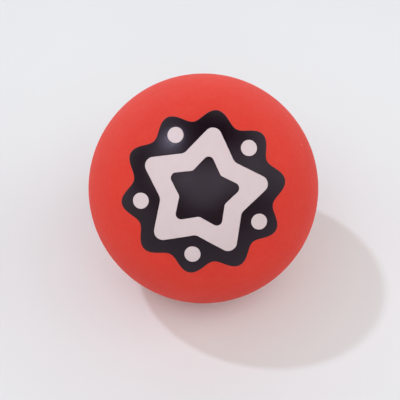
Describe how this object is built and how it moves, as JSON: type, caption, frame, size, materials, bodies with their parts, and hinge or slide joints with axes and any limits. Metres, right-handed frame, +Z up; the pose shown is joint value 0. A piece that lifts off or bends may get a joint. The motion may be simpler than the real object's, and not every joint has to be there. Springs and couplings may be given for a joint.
{
  "type": "bouncy ball",
  "caption": "Hollow matte red rubber bouncy ball with cemented half-shells and a black and off-white star badge printed on its front.",
  "frame": {"origin": "centre of the ball", "axes": "+Z up as the ball lies on a level surface, -Y towards the front, +X to the right seen from the front; the middle of the print points 45 degrees up from -Y towards +Z, and the seam is the great circle square to it"},
  "size_m": [0.06, 0.06, 0.06],
  "materials": {
    "rubber": "ground matte, pigmented red right through",
    "cement": "cured rubber cement, a little darker than the shells",
    "tablet": "pressed chalky salt, crumbly and matte",
    "white_ink": "off-white satin ink film",
    "black_ink": "warm black satin ink film"
  },
  "bodies": {
    "root": {"front_half_shell": "rubber", "rear_half_shell": "rubber", "seam_cement": "cement", "gas_tablets": "tablet", "white_print": "white_ink", "black_print": "black_ink"}
  },
  "joints": []
}
